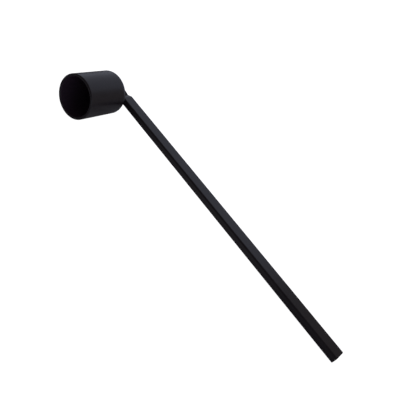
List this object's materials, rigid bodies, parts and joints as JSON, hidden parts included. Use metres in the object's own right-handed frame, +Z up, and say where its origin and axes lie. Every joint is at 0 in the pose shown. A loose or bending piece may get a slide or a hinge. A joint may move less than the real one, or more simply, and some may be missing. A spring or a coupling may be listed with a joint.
{
  "type": "candle snuffer",
  "caption": "Candle snuffer: a small closed-back cup on the end of a long straight bar handle, square to the cup, in satin black.",
  "frame": {"origin": "on the table the snuffer lies on, under the middle of its bounding box", "axes": "+Z up from the table, +X along the handle from the cup to the free end, -Y out of the cup's mouth; the handle slopes down 2.9 degrees to rest its free end on the table, and the cup's axis rises 0.8 degrees towards the mouth"},
  "size_m": [0.2052, 0.0398, 0.025],
  "materials": {
    "cup_coating": "satin black baked coating on steel",
    "handle_coating": "satin black baked coating on steel"
  },
  "bodies": {
    "root": {"cup": "cup_coating", "handle": "handle_coating", "weld_bead": "handle_coating"}
  },
  "joints": []
}
